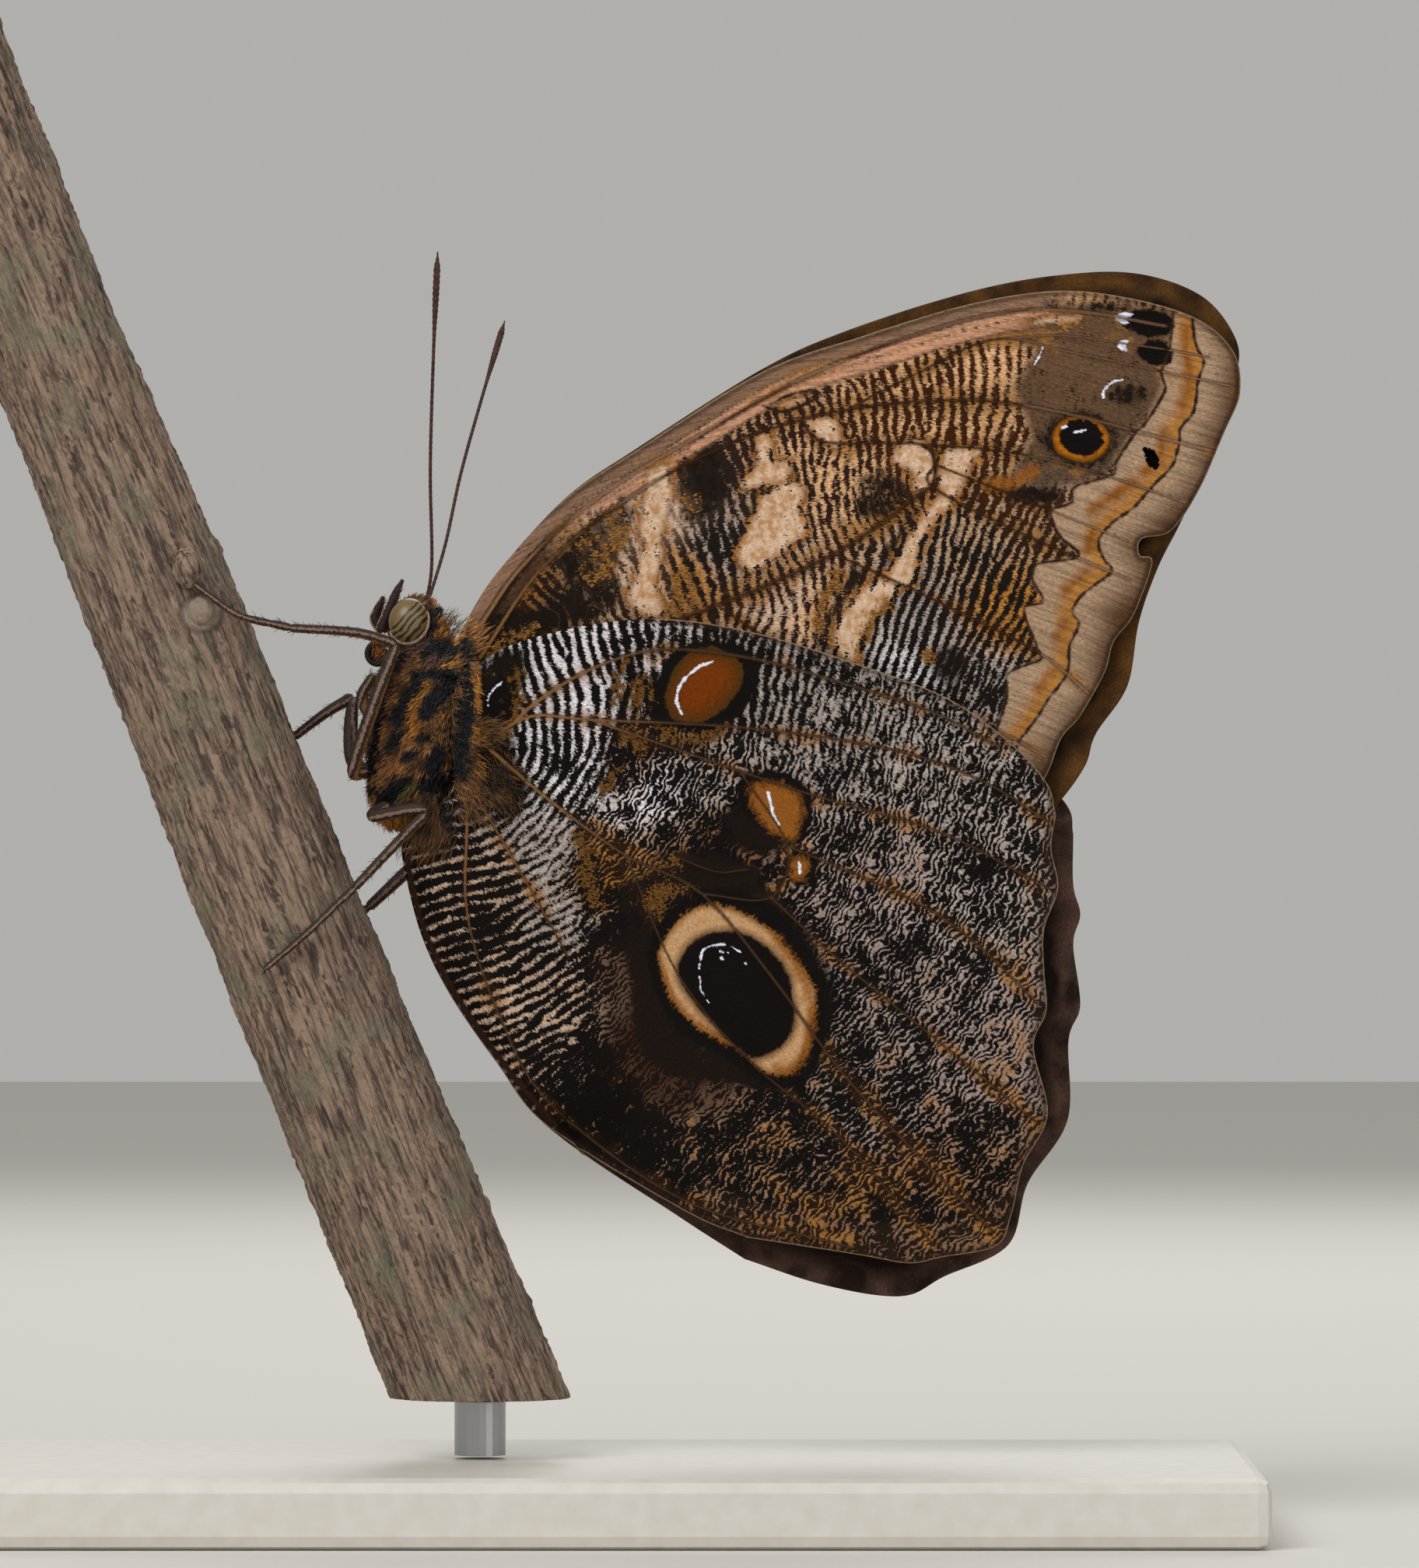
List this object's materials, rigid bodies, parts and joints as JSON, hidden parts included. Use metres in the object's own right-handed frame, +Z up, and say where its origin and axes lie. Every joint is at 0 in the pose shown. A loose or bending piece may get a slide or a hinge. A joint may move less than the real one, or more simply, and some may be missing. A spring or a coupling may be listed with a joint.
{
  "type": "owl butterfly model on a perch",
  "caption": "Life-size owl butterfly at rest with closed patterned wings, its legs gripping a cut twig that a small flat stand holds up.",
  "frame": {"origin": "centre of the stand's underside, on the floor", "axes": "+Z up; +X from the butterfly's breast to the tips of its closed wings; its left wings face -Y, where the picture was taken from"},
  "size_m": [0.12, 0.06, 0.1315],
  "materials": {
    "wing": "wing membrane covered in fine matt scales, brown and grey ripples with ringed eyespots",
    "fur": "short dense fur, orange-brown with blue-black and olive patches",
    "eye": "smooth faceted eye, olive tan with darker stripes",
    "horn": "thin red-brown horny skin",
    "legs": "scaled and bristly legs, brown with pale pink stripes",
    "bark": "rough grey-brown bark, wrinkled along its length",
    "base": "plain painted wood, satin",
    "rod": "plain drawn steel rod"
  },
  "bodies": {
    "root": {"head": "fur", "thorax": "fur", "abdomen": "fur", "palp_left": "fur", "palp_right": "fur", "eye_left": "eye", "eye_right": "eye", "proboscis": "horn", "antenna_left": "horn", "antenna_right": "horn", "foreleg_left": "legs", "foreleg_right": "legs", "midleg_left": "legs", "midleg_right": "legs", "hindleg_left": "legs", "hindleg_right": "legs", "forewing_left": "wing", "forewing_right": "wing", "hindwing_left": "wing", "hindwing_right": "wing", "perch_branch": "bark", "stand_base": "base", "stand_rod": "rod"}
  },
  "joints": []
}
